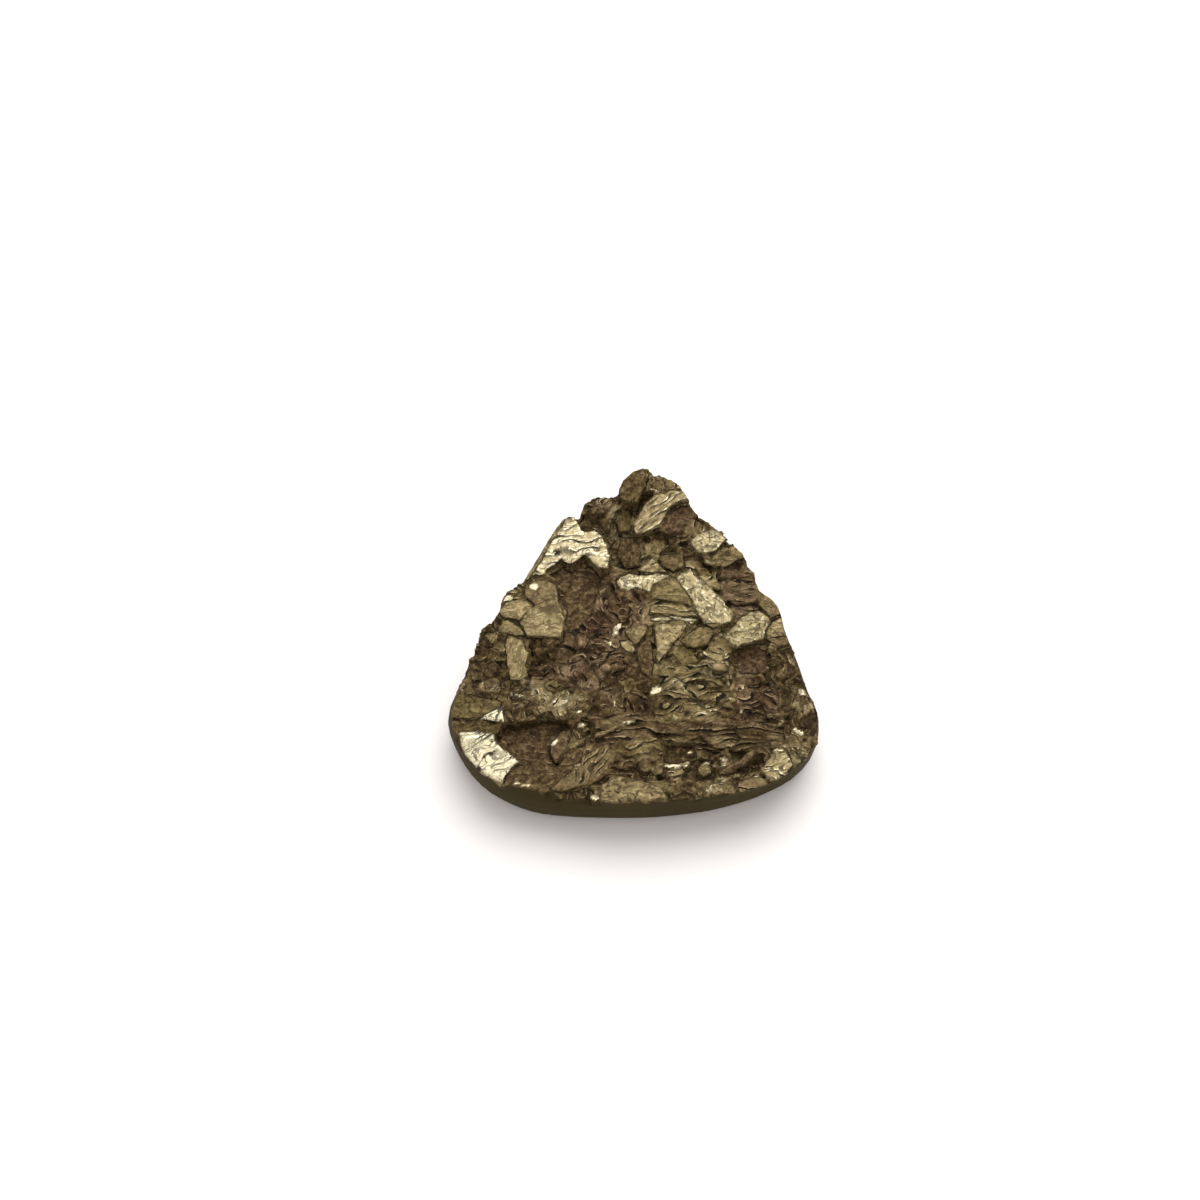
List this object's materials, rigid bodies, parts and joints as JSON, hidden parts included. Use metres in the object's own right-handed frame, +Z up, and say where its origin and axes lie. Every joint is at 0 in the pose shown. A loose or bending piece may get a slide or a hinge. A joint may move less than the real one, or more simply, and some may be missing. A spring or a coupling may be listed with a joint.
{
  "type": "pyrite specimen",
  "caption": "Rough pyrite: natural brassy crystal faces and dark broken rock on top, wall ground smooth, flat below to rest on.",
  "frame": {"origin": "middle of the flat base's plane, at the centre of the stone seen from above", "axes": "+Z up out of the crystal face, +Y towards the peak at the back, +X to the right"},
  "size_m": [0.0296, 0.0284, 0.0084],
  "materials": {
    "pyrite": "rough, with brassy metallic crystal faces"
  },
  "bodies": {
    "root": {"pyrite": "pyrite"}
  },
  "joints": []
}
